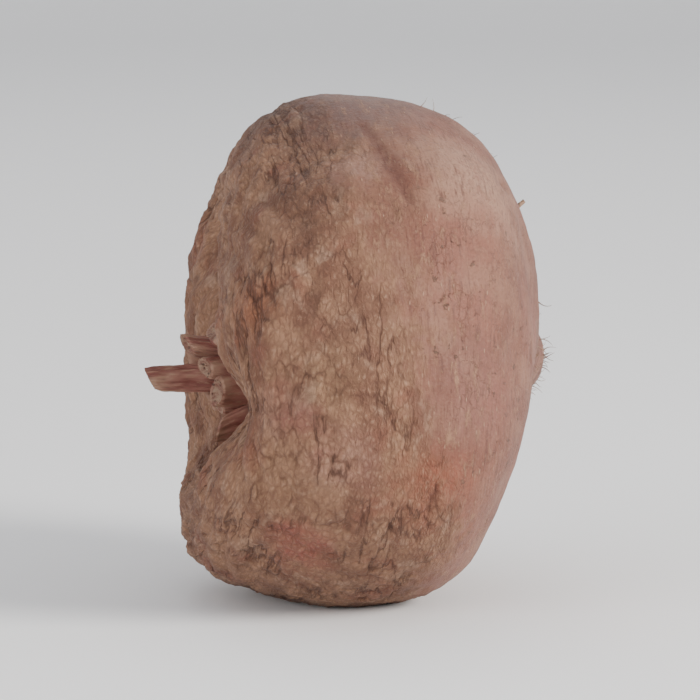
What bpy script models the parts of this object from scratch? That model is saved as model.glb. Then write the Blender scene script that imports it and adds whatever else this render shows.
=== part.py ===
"""A beetroot with its leaves trimmed off, lying on its side on a small flat spot.

The crown faces -X, the base faces +X with its tail bent over to +Y, and +Z is up. The origin is the point
of the flat spot that lies under the globe's widest girth. Sizes are in millimetres, the scene is in metres.

Two numbers place a point on the root's skin: its step along OUTLINE, from 0 at the middle of the crown to
LAST_STEP at the tip of the tail, and its turn about the middle line, with +Y at 0 and up at a quarter turn.
"""

import math
import random

import bmesh
import bpy
import numpy as np
from mathutils import Vector, noise

MM = 0.001

# The root, turned about its middle line: (distance along it from the widest girth, radius).
# DISH_EDGE and the names after it are steps: places in this list.
GLOBE_RADIUS = 34.0
OUTLINE = [
    (-13.4, 0.0),
    (-13.8, 5.2),
    (-15.4, 9.4),
    (-17.8, 13.2),
    (-18.6, 18.8),
    (-17.6, 25.2),
    (-14.0, 30.2),
    (-7.6, 33.3),
    (0.0, GLOBE_RADIUS),
    (7.2, 33.1),
    (13.6, 29.5),
    (18.2, 23.2),
    (21.0, 15.8),
    (23.0, 9.2),
    (26.0, 5.4),
    (30.6, 3.9),
    (36.6, 3.0),
    (43.5, 2.2),
    (50.0, 1.4),
    (54.5, 0.0),
]
LAST_STEP = len(OUTLINE) - 1
DISH_EDGE = 2
RIM = 3
SHOULDER_END = 6
GIRTH = 8
NECK = 12
NECK_END = 15
NEARBY = 0.02

# Rows of faces from the crown to the tail: (the step that a stretch ends at, the rows in it)
STRETCHES = [(RIM, 9), (SHOULDER_END, 20), (NECK, 20), (NECK_END, 9), (LAST_STEP, 9)]
ROWS = sum(rows for _, rows in STRETCHES)
SIDES = 72

# The root's middle line: its height, the crown's place off it, and its bend to one side into the tail
AXIS_HEIGHT = 32.25
CROWN_SHIFT = Vector((0.0, -1.0, -3.0))
BASE_SHIFT = 7.0
TAIL_START = 19.0
TAIL_BEND_RADIUS = 11.0
TAIL_TURN = math.radians(86)
TAIL_DROOP = math.radians(14)
BASE_SLOPE = math.atan(2 * BASE_SHIFT / TAIL_START)

# Unevenness of the globe, with the lobes round it as (count, share of the radius, turn of the first one)
LOBES = [(2, 0.020, 0.15), (3, 0.013, 1.42), (5, 0.006, 1.15)]
SHOULDER_SWELL = 5.0
SHOULDER_SWELL_TURN = math.radians(240)
BASE_SWELL = 2.6
LUMP_HEIGHT = 1.2
LUMP_SPACING = 17.0
CORK_HEIGHT = 0.35
CORK_SPACING = 4.6

# Notches in the rim of the crown, as (turn, depth, half width)
NOTCHES = [
    (math.radians(187), 4.0, 0.26),
    (math.radians(64), 2.4, 0.34),
    (math.radians(318), 2.0, 0.40),
]

# Dents in the skin, as (step, turn, depth, radius)
DENTS = [
    (10.2, math.radians(172), 0.8, 4.2),
    (6.8, math.radians(118), 1.2, 5.7),
    (9.2, math.radians(20), 1.0, 5.7),
]

# Corky rings round the crown, and wrinkles round the neck and the tail, both wandering a little
RING_HEIGHT = 0.30
RINGS_A_STEP = 1.35
WRINKLE_HEIGHT = 0.28
WRINKLE_SPACING = 3.4
WRINKLED_RADIUS = 5.0
WANDER = 1.1
WANDER_SPACING = 9.0

# The two furrows that the side roots grow from, on opposite sides of the globe
FURROW_DEPTH = 0.9
FURROWED_RADIUS = 12.0
FURROW_HALF_WIDTH = 0.15
FURROW_TURNS = (math.radians(76), math.radians(256))
FURROW_TWIST = 0.035

# Side roots, broken off short
SIDE_ROOT_SEED = 11
SIDE_ROOTS_A_FURROW = 6
SIDE_ROOT_STEPS = (11.4, 17.3)
SIDE_ROOT_LENGTHS = (1.6, 4.6)
SIDE_ROOT_RADII = (0.42, 0.68)
SIDE_ROOT_STRAY = 0.12
SIDE_ROOT_SWEEP = (0.2, 1.0)
SIDE_ROOT_LEAN = 0.7
SIDE_ROOT_SHARES = (0.0, 0.35, 0.7, 1.0)
SIDE_ROOT_TAPER = (1.25, 1.2, 0.85, 0.65, 0.5)
SIDE_ROOT_ACROSS = Vector((0.31, 0.17, 0.94))
SIDE_ROOT_SIDES = 6
SIDE_ROOT_SUNK = 1.2

# Leaf stalks, most of them cut off short, in the spiral that the leaves grew in.
# Leans, widths and thicknesses are (inmost, outmost), lengths (shortest, longest).
STALK_SEED = 34
STALKS = 9
GOLDEN_TURN = math.radians(137.5)
STALK_SPREAD = 2.2
INMOST_STALK = 0.3
STALK_STRAY = 0.12
STALK_LENGTHS = (4.5, 16.0)
STALK_SHORTNESS = 2.5
STALK_LEANS = (math.radians(3), math.radians(15))
STALK_LEAN_STRAY = math.radians(3)
STALK_WIDTHS = (3.2, 5.8)
STALK_THICKNESSES = (2.2, 3.1)
STALK_FOOT = 1.28
STALK_TIP = 0.90
STALK_GUTTER = 0.10
STALK_CUT_SLANT = 0.7
STALK_SUNK = 0.9
STALK_SIDES = 14
STALK_RINGS = 5

# The short stem that the stalks stand on, in the crown's dish
SEAT_RADIUS = 8.6
SEAT_HEIGHT = 2.6
SEAT_GAP = 0.35
SEAT_SIDES = 28
SEAT_RINGS = 12

ROOT_COLOUR = (0.28, 0.16, 0.115, 1)
STALK_COLOUR = (0.24, 0.085, 0.085, 1)


def clear_scene():
    for obj in list(bpy.data.objects):
        bpy.data.objects.remove(obj)


def smooth_step(low, high, value):
    share = min(1.0, max(0.0, (value - low) / (high - low)))
    return share * share * (3 - 2 * share)


def through(a, b, c, d, share):
    """The smooth curve through four numbers, between the second and the third."""
    return b + 0.5 * share * (
        c - a + share * (2 * a - 5 * b + 4 * c - d + share * (3 * (b - c) + d - a))
    )


def outline(step):
    """(distance along the middle line, radius) of the plain turned root."""
    first = min(int(step), LAST_STEP - 1)
    mirrored_start = (OUTLINE[1][0], -OUTLINE[1][1])
    mirrored_end = (OUTLINE[-2][0], -OUTLINE[-2][1])
    points = [mirrored_start, *OUTLINE, mirrored_end][first : first + 4]
    return tuple(through(*numbers, step - first) for numbers in zip(*points))


def outline_normal(step):
    """The outline's outward normal, as (along the middle line, away from it)."""
    before = outline(max(0.0, step - NEARBY))
    after = outline(min(LAST_STEP, step + NEARBY))
    along, away = after[0] - before[0], after[1] - before[1]
    length = math.hypot(along, away)
    return -away / length, along / length


def tail_bend(along):
    """(distance towards +X, distance to the side, heading) of the middle line beyond the girth."""
    ahead = min(along, TAIL_START)
    aside = BASE_SHIFT * (ahead / TAIL_START) ** 2
    if along < TAIL_START:
        return ahead, aside, math.atan(2 * aside / max(ahead, MM))
    beyond = along - TAIL_START
    bend = min(beyond / TAIL_BEND_RADIUS, TAIL_TURN - BASE_SLOPE)
    heading = BASE_SLOPE + bend
    straight = beyond - TAIL_BEND_RADIUS * bend
    ahead += TAIL_BEND_RADIUS * (math.sin(heading) - math.sin(BASE_SLOPE)) + straight * math.cos(heading)
    aside += TAIL_BEND_RADIUS * (math.cos(BASE_SLOPE) - math.cos(heading)) + straight * math.sin(heading)
    return ahead, aside, heading


def middle_line(along):
    """The point of the root's middle line at this distance, its direction, and the two across it."""
    ahead, aside, heading = tail_bend(along) if along > 0 else (along, 0.0, 0.0)
    heading *= smooth_step(TAIL_START, OUTLINE[NECK_END][0], along)
    side = Vector((0, math.cos(TAIL_DROOP), -math.sin(TAIL_DROOP)))
    place = Vector((ahead, 0, AXIS_HEIGHT)) + aside * side
    direction = Vector((math.cos(heading), 0, 0)) + math.sin(heading) * side
    upwards = (Vector((0, 0, 1)) - direction * direction.z).normalized()
    return place, direction, upwards.cross(direction), upwards


def furrow_share(step, turn):
    """1 in the middle of a furrow, 0 away from both."""
    along = smooth_step(GIRTH - 2, NECK, step) * (1 - smooth_step(NECK_END, LAST_STEP, step))
    nearest = 0.0
    for start in FURROW_TURNS:
        middle = start + FURROW_TWIST * (step - GIRTH)
        off = math.remainder(turn - middle, 2 * math.pi)
        nearest = max(nearest, math.exp(-((off / FURROW_HALF_WIDTH) ** 2)))
    return along * nearest


def notch_depth(turn):
    """How far the crown's rim is let in at this turn."""
    offs = [math.remainder(turn - middle, 2 * math.pi) / half_width for middle, _, half_width in NOTCHES]
    return sum(depth * math.exp(-(off**2)) for off, (_, depth, _) in zip(offs, NOTCHES))


def plain_place(step, turn):
    """The point of the root before its relief and its bends, with the middle line along X."""
    along, radius = outline(step)
    globe = smooth_step(DISH_EDGE, RIM + 1, step) * (1 - smooth_step(NECK, NECK_END, step))
    radius *= 1 + globe * sum(share * math.cos(count * (turn - start)) for count, share, start in LOBES)
    shoulder = smooth_step(DISH_EDGE, RIM + 1, step) * (1 - smooth_step(SHOULDER_END - 1, GIRTH, step))
    rim = smooth_step(DISH_EDGE, RIM, step) * (1 - smooth_step(RIM + 1, SHOULDER_END, step))
    base = smooth_step(GIRTH, NECK - 1, step) * (1 - smooth_step(NECK, NECK_END, step))
    along -= SHOULDER_SWELL * shoulder * (1 + math.cos(turn - SHOULDER_SWELL_TURN)) / 2
    along += notch_depth(turn) * rim + BASE_SWELL * base * math.sin(turn)
    return Vector((along, radius * math.cos(turn), radius * math.sin(turn)))


def dent_depth(place):
    """How deep the dents are at this place."""
    depth = 0.0
    for step, turn, deepest, radius in DENTS:
        away = (place - plain_place(step, turn)).length / radius
        depth += deepest * math.exp(-(away**2))
    return depth


def relief(step, turn, place):
    """How far the skin stands out from the plain turned root at this place on it."""
    radius = outline(step)[1]
    globe = smooth_step(DISH_EDGE, RIM + 1, step) * (1 - smooth_step(NECK, NECK_END, step))
    shoulder = smooth_step(DISH_EDGE, RIM, step) * (1 - smooth_step(SHOULDER_END - 1, GIRTH, step))
    tapering = smooth_step(NECK - 1, NECK_END, step) * min(1.0, radius / WRINKLED_RADIUS)
    wander = WANDER * noise.noise(place / WANDER_SPACING)
    lumps = LUMP_HEIGHT * noise.noise(place / LUMP_SPACING)
    cork = CORK_HEIGHT * noise.noise(place / CORK_SPACING)
    rings = RING_HEIGHT * math.cos(2 * math.pi * (RINGS_A_STEP * (step - RIM) + wander))
    wrinkles = WRINKLE_HEIGHT * math.cos(2 * math.pi * (place.x / WRINKLE_SPACING + wander))
    furrows = FURROW_DEPTH * furrow_share(step, turn) * min(1.0, radius / FURROWED_RADIUS)
    return globe * lumps + shoulder * (cork + rings) + tapering * wrinkles - furrows - dent_depth(place)


def skin(step, turn):
    """The point of the finished skin at this step and turn, in millimetres."""
    place = plain_place(step, turn)
    height = relief(step, turn, place)
    lift = outline_normal(step)
    along = place.x + lift[0] * height
    radius = math.hypot(place.y, place.z) + lift[1] * height
    middle, _, sideways, upwards = middle_line(along)
    point = middle + radius * (math.cos(turn) * sideways + math.sin(turn) * upwards)
    point += CROWN_SHIFT * (1 - smooth_step(DISH_EDGE, SHOULDER_END + 1, step))
    point.z = max(0.0, point.z)
    return point


def step_of_row(row):
    """The step along the outline at which this row of faces begins."""
    start = 0.0
    for end, rows in STRETCHES:
        if row <= rows:
            return start + (end - start) * row / rows
        row -= rows
        start = end
    return LAST_STEP


def plain_material(name, colour, roughness):
    material = bpy.data.materials.new(name)
    material.use_nodes = True
    shader = material.node_tree.nodes["Principled BSDF"]
    shader.inputs["Base Color"].default_value = colour
    shader.inputs["Roughness"].default_value = roughness
    shader.inputs["Metallic"].default_value = 0.0
    material.diffuse_color = colour
    return material


def add_object(name, form, collection):
    """A named object from a bmesh, which it frees, with the points turned from millimetres to metres."""
    bmesh.ops.scale(form, vec=(MM, MM, MM), verts=form.verts)
    bmesh.ops.recalc_face_normals(form, faces=form.faces)
    mesh = bpy.data.meshes.new(name)
    form.to_mesh(mesh)
    form.free()
    obj = bpy.data.objects.new(name, mesh)
    collection.objects.link(obj)
    return obj


def add_collection(name):
    collection = bpy.data.collections.new(name)
    bpy.context.scene.collection.children.link(collection)
    return collection


def fuse(obj, repeats, solver):
    """Joins all the objects of a collection to obj as one body, and removes them."""
    union = obj.modifiers.new("fuse repeats", "BOOLEAN")
    union.operation = "UNION"
    union.solver = solver
    union.operand_type = "COLLECTION"
    union.collection = repeats
    bpy.context.view_layer.update()
    joined = bpy.data.meshes.new_from_object(obj.evaluated_get(bpy.context.evaluated_depsgraph_get()))
    obj.modifiers.remove(union)
    obj.data = joined
    for repeat in list(repeats.objects):
        bpy.data.objects.remove(repeat)
    bpy.data.collections.remove(repeats)


def finish(obj, material):
    obj.data.materials.clear()
    obj.data.materials.append(material)
    obj.data.shade_smooth()
    obj.data.set_sharp_from_angle(angle=math.radians(50))


def tapered_tube(path, radii, sides):
    """A round tube through the points of a path, closed at both ends, thinning as its radii say."""
    form = bmesh.new()
    bmesh.ops.create_cone(
        form, cap_ends=True, segments=sides, radius1=1, radius2=1, depth=len(path) - 1
    )
    bottom = -(len(path) - 1) / 2
    for ring in range(1, len(path) - 1):
        bmesh.ops.bisect_plane(
            form,
            geom=[*form.verts, *form.edges, *form.faces],
            plane_co=(0, 0, bottom + ring),
            plane_no=(0, 0, 1),
        )
    for vertex in form.verts:
        ring = round(vertex.co.z - bottom)
        ahead = path[min(ring + 1, len(path) - 1)] - path[max(ring - 1, 0)]
        across = ahead.cross(SIDE_ROOT_ACROSS).normalized()
        over = ahead.cross(across).normalized()
        vertex.co = path[ring] + radii[ring] * (vertex.co.x * across + vertex.co.y * over)
    return form


def side_root_paths():
    """For each side root its points and radii, from under the skin out to its broken end."""
    chance = random.Random(SIDE_ROOT_SEED)
    first, last = SIDE_ROOT_STEPS
    for furrow in FURROW_TURNS:
        for number in range(SIDE_ROOTS_A_FURROW):
            share = (number + chance.uniform(0.0, 1.0)) / SIDE_ROOTS_A_FURROW
            step = first + (last - first) * share
            turn = furrow + FURROW_TWIST * (step - GIRTH) + chance.uniform(-SIDE_ROOT_STRAY, SIDE_ROOT_STRAY)
            length = chance.uniform(*SIDE_ROOT_LENGTHS)
            thickness = chance.uniform(*SIDE_ROOT_RADII)
            start = skin(step, turn)
            middle, direction, _, _ = middle_line(outline(step)[0])
            outward = (start - middle).normalized()
            sideways = outward.cross(direction) * chance.uniform(-SIDE_ROOT_LEAN, SIDE_ROOT_LEAN)
            sweep = direction * chance.uniform(*SIDE_ROOT_SWEEP) + sideways
            path = [start - outward * SIDE_ROOT_SUNK]
            for part_way in SIDE_ROOT_SHARES:
                path.append(start + length * (outward * part_way + sweep * part_way**2))
            yield path, [thickness * share_left for share_left in SIDE_ROOT_TAPER]


def make_root(collection):
    form = bmesh.new()
    bmesh.ops.create_uvsphere(form, u_segments=SIDES, v_segments=ROWS, radius=1)
    for vertex in form.verts:
        row = round(math.acos(max(-1.0, min(1.0, vertex.co.z))) / math.pi * ROWS)
        vertex.co = skin(step_of_row(row), math.atan2(vertex.co.y, vertex.co.x))
    root = add_object("root", form, collection)
    side_roots = add_collection("side roots")
    for path, radii in side_root_paths():
        add_object("side root", tapered_tube(path, radii, SIDE_ROOT_SIDES), side_roots)
    fuse(root, side_roots, "MANIFOLD")
    finish(root, plain_material("root skin", ROOT_COLOUR, 0.75))


def dish_depth(radius):
    """Where the crown's dish lies along the middle line at this radius."""
    alongs, radii = zip(*OUTLINE[: RIM + 1])
    return float(np.interp(radius, radii, alongs))


def crown_point(along, across, over):
    """A point by its distance along the root's middle line, and across and over it at the crown."""
    middle, _, sideways, upwards = middle_line(along)
    return middle + CROWN_SHIFT + sideways * across + upwards * over


def make_seat():
    """The short stem that the stalks grow from: a low dome whose underside follows the crown's dish."""
    form = bmesh.new()
    bmesh.ops.create_uvsphere(form, u_segments=SEAT_SIDES, v_segments=SEAT_RINGS, radius=1)
    for vertex in form.verts:
        radius = SEAT_RADIUS * math.hypot(vertex.co.x, vertex.co.y)
        turn = math.atan2(vertex.co.y, vertex.co.x)
        along = dish_depth(radius) - SEAT_GAP
        if vertex.co.z > 0:
            along -= SEAT_HEIGHT * vertex.co.z
        vertex.co = crown_point(along, radius * math.cos(turn), radius * math.sin(turn))
    return form


def between(limits, share):
    return limits[0] + (limits[1] - limits[0]) * share


def stalk_sizes():
    """For each stalk, from the middle out: its place on the crown, lean, length, width and thickness."""
    chance = random.Random(STALK_SEED)
    for number in range(STALKS):
        share = number / (STALKS - 1)
        yield {
            "distance": STALK_SPREAD * math.sqrt(number + INMOST_STALK) * chance.uniform(0.94, 1.04),
            "turn": number * GOLDEN_TURN + chance.uniform(-STALK_STRAY, STALK_STRAY),
            "lean": between(STALK_LEANS, share) + chance.uniform(-STALK_LEAN_STRAY, STALK_LEAN_STRAY),
            "length": between(STALK_LENGTHS, chance.random() ** STALK_SHORTNESS),
            "width": between(STALK_WIDTHS, share) * chance.uniform(0.94, 1.06),
            "thickness": between(STALK_THICKNESSES, share) * chance.uniform(0.94, 1.06),
            "cut": chance.uniform(0, 2 * math.pi),
        }


def stalk_point(size, share, around):
    """The point of a stalk's side at this share of its length and this turn about it."""
    half_width = 0.5 * size["width"] * between((STALK_FOOT, STALK_TIP), share)
    half_thickness = 0.5 * size["thickness"] * between((STALK_FOOT, STALK_TIP), share)
    sideways = half_width * math.cos(around)
    outwards = half_thickness * math.sin(around) - STALK_GUTTER * sideways**2
    rise = size["length"] * share + STALK_CUT_SLANT * share * math.cos(around - size["cut"])
    lean = size["lean"] * (1 + share) / 2
    outwards += size["distance"] + math.sin(lean) * rise
    along = dish_depth(min(size["distance"], SEAT_RADIUS)) - SEAT_GAP - STALK_SUNK - math.cos(lean) * rise
    across = outwards * math.cos(size["turn"]) - sideways * math.sin(size["turn"])
    over = outwards * math.sin(size["turn"]) + sideways * math.cos(size["turn"])
    return crown_point(along, across, over)


def make_stalk(size):
    """One cut stalk: a gutter-shaped stub, open towards the crown's middle and cut off on a slant."""
    form = bmesh.new()
    bmesh.ops.create_cone(form, cap_ends=True, segments=STALK_SIDES, radius1=1, radius2=1, depth=1)
    for ring in range(1, STALK_RINGS):
        bmesh.ops.bisect_plane(
            form,
            geom=[*form.verts, *form.edges, *form.faces],
            plane_co=(0, 0, ring / STALK_RINGS - 0.5),
            plane_no=(0, 0, 1),
        )
    for vertex in form.verts:
        vertex.co = stalk_point(size, vertex.co.z + 0.5, math.atan2(vertex.co.y, vertex.co.x))
    return form


def make_leaf_stalks(collection):
    leaf_stalks = add_object("leaf_stalks", make_seat(), collection)
    stubs = add_collection("stalk stubs")
    for size in stalk_sizes():
        add_object("stalk stub", make_stalk(size), stubs)
    fuse(leaf_stalks, stubs, "EXACT")
    finish(leaf_stalks, plain_material("leaf stalk", STALK_COLOUR, 0.6))


def main():
    clear_scene()
    beetroot = add_collection("beetroot")
    make_root(beetroot)
    make_leaf_stalks(beetroot)


main()
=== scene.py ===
"""The looks of a beetroot with its leaves trimmed off, lying on its side.

The crown faces -X, the base faces +X with its tail bent over to +Y, and +Z is up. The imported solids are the
frame: a piece that stands for one of them repeats its named sizes. Sizes are in millimetres, and meshes are
in metres.
"""

import functools
import math
import random

import bmesh
import bpy
import numpy as np
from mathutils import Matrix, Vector, noise


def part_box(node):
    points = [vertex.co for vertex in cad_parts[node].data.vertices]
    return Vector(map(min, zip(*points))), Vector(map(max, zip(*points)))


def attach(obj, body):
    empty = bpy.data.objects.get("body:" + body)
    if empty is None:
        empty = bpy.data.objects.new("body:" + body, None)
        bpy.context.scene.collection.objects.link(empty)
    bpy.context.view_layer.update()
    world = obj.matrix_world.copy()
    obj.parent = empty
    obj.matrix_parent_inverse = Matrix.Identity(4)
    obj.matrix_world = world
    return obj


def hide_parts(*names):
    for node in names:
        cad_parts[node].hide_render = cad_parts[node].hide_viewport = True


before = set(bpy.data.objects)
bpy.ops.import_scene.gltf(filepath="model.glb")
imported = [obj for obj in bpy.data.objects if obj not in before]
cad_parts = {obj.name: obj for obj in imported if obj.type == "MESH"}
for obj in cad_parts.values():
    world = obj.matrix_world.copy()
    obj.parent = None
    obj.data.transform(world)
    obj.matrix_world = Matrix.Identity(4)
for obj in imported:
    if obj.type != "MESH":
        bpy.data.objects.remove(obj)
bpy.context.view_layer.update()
floor_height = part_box("root")[0].z


# The root: one swollen piece, from the crown where the leaves stood down to the tail. The shoulder grew
# above the soil and is corky there, in rough scales that lie in rings. The rest has a thin, dusty skin with
# faint lines round it, a few scars, and two furrows that the side roots grow from.

MM = 0.001
GLOBE_RADIUS = 34.0

# The outline from the crown to the tail's tip, one step a point, as (distance along the middle line, radius)
OUTLINE = [
    (-13.4, 0.0),
    (-13.8, 5.2),
    (-15.4, 9.4),
    (-17.8, 13.2),
    (-18.6, 18.8),
    (-17.6, 25.2),
    (-14.0, 30.2),
    (-7.6, 33.3),
    (0.0, GLOBE_RADIUS),
    (7.2, 33.1),
    (13.6, 29.5),
    (18.2, 23.2),
    (21.0, 15.8),
    (23.0, 9.2),
    (26.0, 5.4),
    (30.6, 3.9),
    (36.6, 3.0),
    (43.5, 2.2),
    (50.0, 1.4),
    (54.5, 0.0),
]
LAST_STEP = len(OUTLINE) - 1

# The steps at which the root's parts begin or end
DISH_EDGE = 2
RIM = 3
SHOULDER_END = 6
GIRTH = 8
NECK = 12
NECK_END = 15

# How far off the two steps are that the outline's slope is taken between
NEARBY = 0.02

# How finely the skin is divided: the rows of faces up to each of these steps, and the faces round a row
STRETCHES = [(RIM, 28), (SHOULDER_END, 52), (NECK, 76), (NECK_END, 30), (LAST_STEP, 34)]
ROWS = sum(rows for _, rows in STRETCHES)
SIDES = 380

# Where the middle line runs: its height, how far the crown and the base stand off it, and the tail's bend
AXIS_HEIGHT = 32.25
CROWN_SHIFT = Vector((0.0, -1.0, -3.0))
BASE_SHIFT = 7.0
TAIL_START = 19.0
TAIL_BEND_RADIUS = 11.0
TAIL_TURN = math.radians(86)
TAIL_DROOP = math.radians(14)
BASE_SLOPE = math.atan(2 * BASE_SHIFT / TAIL_START)

# Lobes round the root, as (how many, share of the radius, turn of the first)
LOBES = [(2, 0.020, 0.15), (3, 0.013, 1.42), (5, 0.006, 1.15)]

# How far the shoulder and the base swell to one side, then how high and how far apart lumps and cork are
SHOULDER_SWELL = 5.0
SHOULDER_SWELL_TURN = math.radians(240)
BASE_SWELL = 2.6
LUMP_HEIGHT = 1.2
LUMP_SPACING = 17.0
CORK_HEIGHT = 0.35
CORK_SPACING = 4.6

# Where the crown's rim is let in, as (turn, depth, half width), and dents, as (step, turn, depth, radius)
NOTCHES = [
    (math.radians(187), 4.0, 0.26),
    (math.radians(64), 2.4, 0.34),
    (math.radians(318), 2.0, 0.40),
]
DENTS = [
    (10.2, math.radians(172), 0.8, 4.2),
    (6.8, math.radians(118), 1.2, 5.7),
    (9.2, math.radians(20), 1.0, 5.7),
]

# The rings on the shoulder, the wrinkles on the tail, how far both wander, and the two furrows
RING_HEIGHT = 0.30
RINGS_A_STEP = 1.35
WRINKLE_HEIGHT = 0.28
WRINKLE_SPACING = 3.4
WRINKLED_RADIUS = 5.0
WANDER = 1.1
WANDER_SPACING = 9.0
FURROW_DEPTH = 0.9
FURROWED_RADIUS = 12.0
FURROW_HALF_WIDTH = 0.15
FURROW_TURNS = (math.radians(76), math.radians(256))
FURROW_TWIST = 0.035

# Where the cork ends, as a step along the outline, and how far it reaches below and falls short above
CORK_END = 7.7
CORK_REACH = 1.1
CORK_REACH_TURN = math.radians(235)
CORK_SHORTFALL = 0.5
CORK_SHORTFALL_TURN = math.radians(105)

# Creases in the smooth skin, as (start, end, half width), then how the rest are drawn, how near to the skin a
# crease has to lie, and how many half widths wide it is in its middle
CREASES = [(Vector((-2.6, -12.6, 30.8)), Vector((0.8, -25.6, 21.8)), 1.25)]
CREASE_SEED = 5
CREASE_COUNT = 9
CREASE_STEPS = (7.9, 12.0)
CREASE_LENGTHS = (0.06, 0.20)
CREASE_SLANT = 0.40
CREASE_HALF_WIDTHS = (0.40, 0.60)
CREASE_REACH = 6.0
CREASE_SWELL = 1.25


def smooth_step(low, high, value):
    """0 where the value is low, 1 where it is high, and smooth between the two."""
    share = min(1.0, max(0.0, (value - low) / (high - low)))
    return share * share * (3 - 2 * share)


def through(a, b, c, d, share):
    """The smooth curve through four numbers, between the second and the third."""
    return b + 0.5 * share * (
        c - a + share * (2 * a - 5 * b + 4 * c - d + share * (3 * (b - c) + d - a))
    )


@functools.lru_cache(maxsize=None)
def outline(step):
    """(distance along the middle line, radius) of the plain turned root."""
    first = min(int(step), LAST_STEP - 1)
    mirrored_start = (OUTLINE[1][0], -OUTLINE[1][1])
    mirrored_end = (OUTLINE[-2][0], -OUTLINE[-2][1])
    points = [mirrored_start, *OUTLINE, mirrored_end][first : first + 4]
    return tuple(through(*numbers, step - first) for numbers in zip(*points))


@functools.lru_cache(maxsize=None)
def outline_normal(step):
    """The outline's outward normal, as (along the middle line, away from it)."""
    before = outline(max(0.0, step - NEARBY))
    after = outline(min(LAST_STEP, step + NEARBY))
    along, away = after[0] - before[0], after[1] - before[1]
    length = math.hypot(along, away)
    return -away / length, along / length


@functools.lru_cache(maxsize=None)
def arc_length(step, pieces=60):
    """How far this step is from the middle of the crown, along the outline."""
    points = [outline(step * number / pieces) for number in range(pieces + 1)]
    return sum(math.dist(start, end) for start, end in zip(points, points[1:]))


def tail_bend(along):
    """(distance towards +X, distance to the side, heading) of the middle line beyond the girth."""
    ahead = min(along, TAIL_START)
    aside = BASE_SHIFT * (ahead / TAIL_START) ** 2
    if along < TAIL_START:
        return ahead, aside, math.atan(2 * aside / max(ahead, MM))
    beyond = along - TAIL_START
    bend = min(beyond / TAIL_BEND_RADIUS, TAIL_TURN - BASE_SLOPE)
    heading = BASE_SLOPE + bend
    straight = beyond - TAIL_BEND_RADIUS * bend
    ahead += TAIL_BEND_RADIUS * (math.sin(heading) - math.sin(BASE_SLOPE)) + straight * math.cos(heading)
    aside += TAIL_BEND_RADIUS * (math.cos(BASE_SLOPE) - math.cos(heading)) + straight * math.sin(heading)
    return ahead, aside, heading


def middle_line(along):
    """The point of the root's middle line at this distance, its direction, and the two across it."""
    ahead, aside, heading = tail_bend(along) if along > 0 else (along, 0.0, 0.0)
    heading *= smooth_step(TAIL_START, OUTLINE[NECK_END][0], along)
    side = Vector((0, math.cos(TAIL_DROOP), -math.sin(TAIL_DROOP)))
    place = Vector((ahead, 0, AXIS_HEIGHT)) + aside * side
    direction = Vector((math.cos(heading), 0, 0)) + math.sin(heading) * side
    upwards = (Vector((0, 0, 1)) - direction * direction.z).normalized()
    return place, direction, upwards.cross(direction), upwards


def furrow_share(step, turn):
    """1 in the middle of a furrow, 0 away from both."""
    along = smooth_step(GIRTH - 2, NECK, step) * (1 - smooth_step(NECK_END, LAST_STEP, step))
    nearest = 0.0
    for start in FURROW_TURNS:
        off = math.remainder(turn - start - FURROW_TWIST * (step - GIRTH), 2 * math.pi)
        nearest = max(nearest, math.exp(-((off / FURROW_HALF_WIDTH) ** 2)))
    return along * nearest


def notch_depth(turn):
    """How far the crown's rim is let in at this turn."""
    offs = [math.remainder(turn - middle, 2 * math.pi) / half_width for middle, _, half_width in NOTCHES]
    return sum(depth * math.exp(-(off**2)) for off, (_, depth, _) in zip(offs, NOTCHES))


def plain_place(step, turn):
    """The point of the root before its relief and its bends, with the middle line along X."""
    along, radius = outline(step)
    globe = smooth_step(DISH_EDGE, RIM + 1, step) * (1 - smooth_step(NECK, NECK_END, step))
    radius *= 1 + globe * sum(share * math.cos(count * (turn - start)) for count, share, start in LOBES)
    shoulder = smooth_step(DISH_EDGE, RIM + 1, step) * (1 - smooth_step(SHOULDER_END - 1, GIRTH, step))
    rim = smooth_step(DISH_EDGE, RIM, step) * (1 - smooth_step(RIM + 1, SHOULDER_END, step))
    base = smooth_step(GIRTH, NECK - 1, step) * (1 - smooth_step(NECK, NECK_END, step))
    along -= SHOULDER_SWELL * shoulder * (1 + math.cos(turn - SHOULDER_SWELL_TURN)) / 2
    along += notch_depth(turn) * rim + BASE_SWELL * base * math.sin(turn)
    return Vector((along, radius * math.cos(turn), radius * math.sin(turn)))


DENT_PLACES = [(plain_place(step, turn), deepest, radius) for step, turn, deepest, radius in DENTS]


def dent_depth(place):
    """How deep the dents are at this place."""
    return sum(
        deepest * math.exp(-(((place - middle).length / radius) ** 2))
        for middle, deepest, radius in DENT_PLACES
    )


def relief(step, turn, place):
    """How far the skin stands out from the plain turned root at this place on it."""
    radius = outline(step)[1]
    globe = smooth_step(DISH_EDGE, RIM + 1, step) * (1 - smooth_step(NECK, NECK_END, step))
    shoulder = smooth_step(DISH_EDGE, RIM, step) * (1 - smooth_step(SHOULDER_END - 1, GIRTH, step))
    tapering = smooth_step(NECK - 1, NECK_END, step) * min(1.0, radius / WRINKLED_RADIUS)
    wander = WANDER * noise.noise(place / WANDER_SPACING)
    lumps = LUMP_HEIGHT * noise.noise(place / LUMP_SPACING)
    cork = CORK_HEIGHT * noise.noise(place / CORK_SPACING)
    rings = RING_HEIGHT * math.cos(2 * math.pi * (RINGS_A_STEP * (step - RIM) + wander))
    wrinkles = WRINKLE_HEIGHT * math.cos(2 * math.pi * (place.x / WRINKLE_SPACING + wander))
    furrows = FURROW_DEPTH * furrow_share(step, turn) * min(1.0, radius / FURROWED_RADIUS)
    return globe * lumps + shoulder * (cork + rings) + tapering * wrinkles - furrows - dent_depth(place)


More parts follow.
